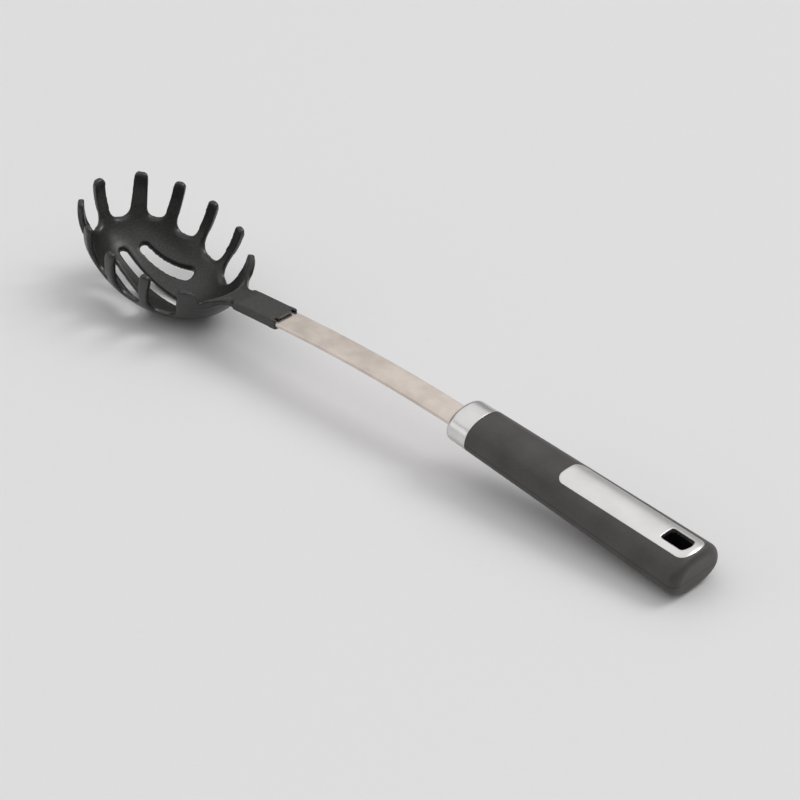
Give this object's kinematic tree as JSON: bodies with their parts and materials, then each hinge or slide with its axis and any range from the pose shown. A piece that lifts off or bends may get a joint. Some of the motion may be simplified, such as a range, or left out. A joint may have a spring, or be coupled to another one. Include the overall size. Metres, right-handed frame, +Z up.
{
  "type": "pasta server",
  "caption": "Pasta server with a slotted, tined nylon bowl on a flat steel strip and a soft-grip handle with a metal inlay and a hanging hole.",
  "frame": {"origin": "centre of the tool's length on the table that it rests on", "axes": "+X along the tool from the bowl's tip to the butt, +Y across it, +Z up; the tool is the same on both sides of the XZ plane"},
  "size_m": [0.3238, 0.0594, 0.042],
  "materials": {
    "head_nylon": "matte, finely textured",
    "shank_steel": "satin",
    "ferrule_steel": "satin",
    "core_plastic": "moulded",
    "grip_rubber": "soft-touch matte",
    "inlay_steel": "satin"
  },
  "bodies": {
    "root": {"head": "head_nylon", "shank": "shank_steel", "ferrule": "ferrule_steel", "handle_core": "core_plastic", "grip": "grip_rubber", "inlay": "inlay_steel"}
  },
  "joints": []
}
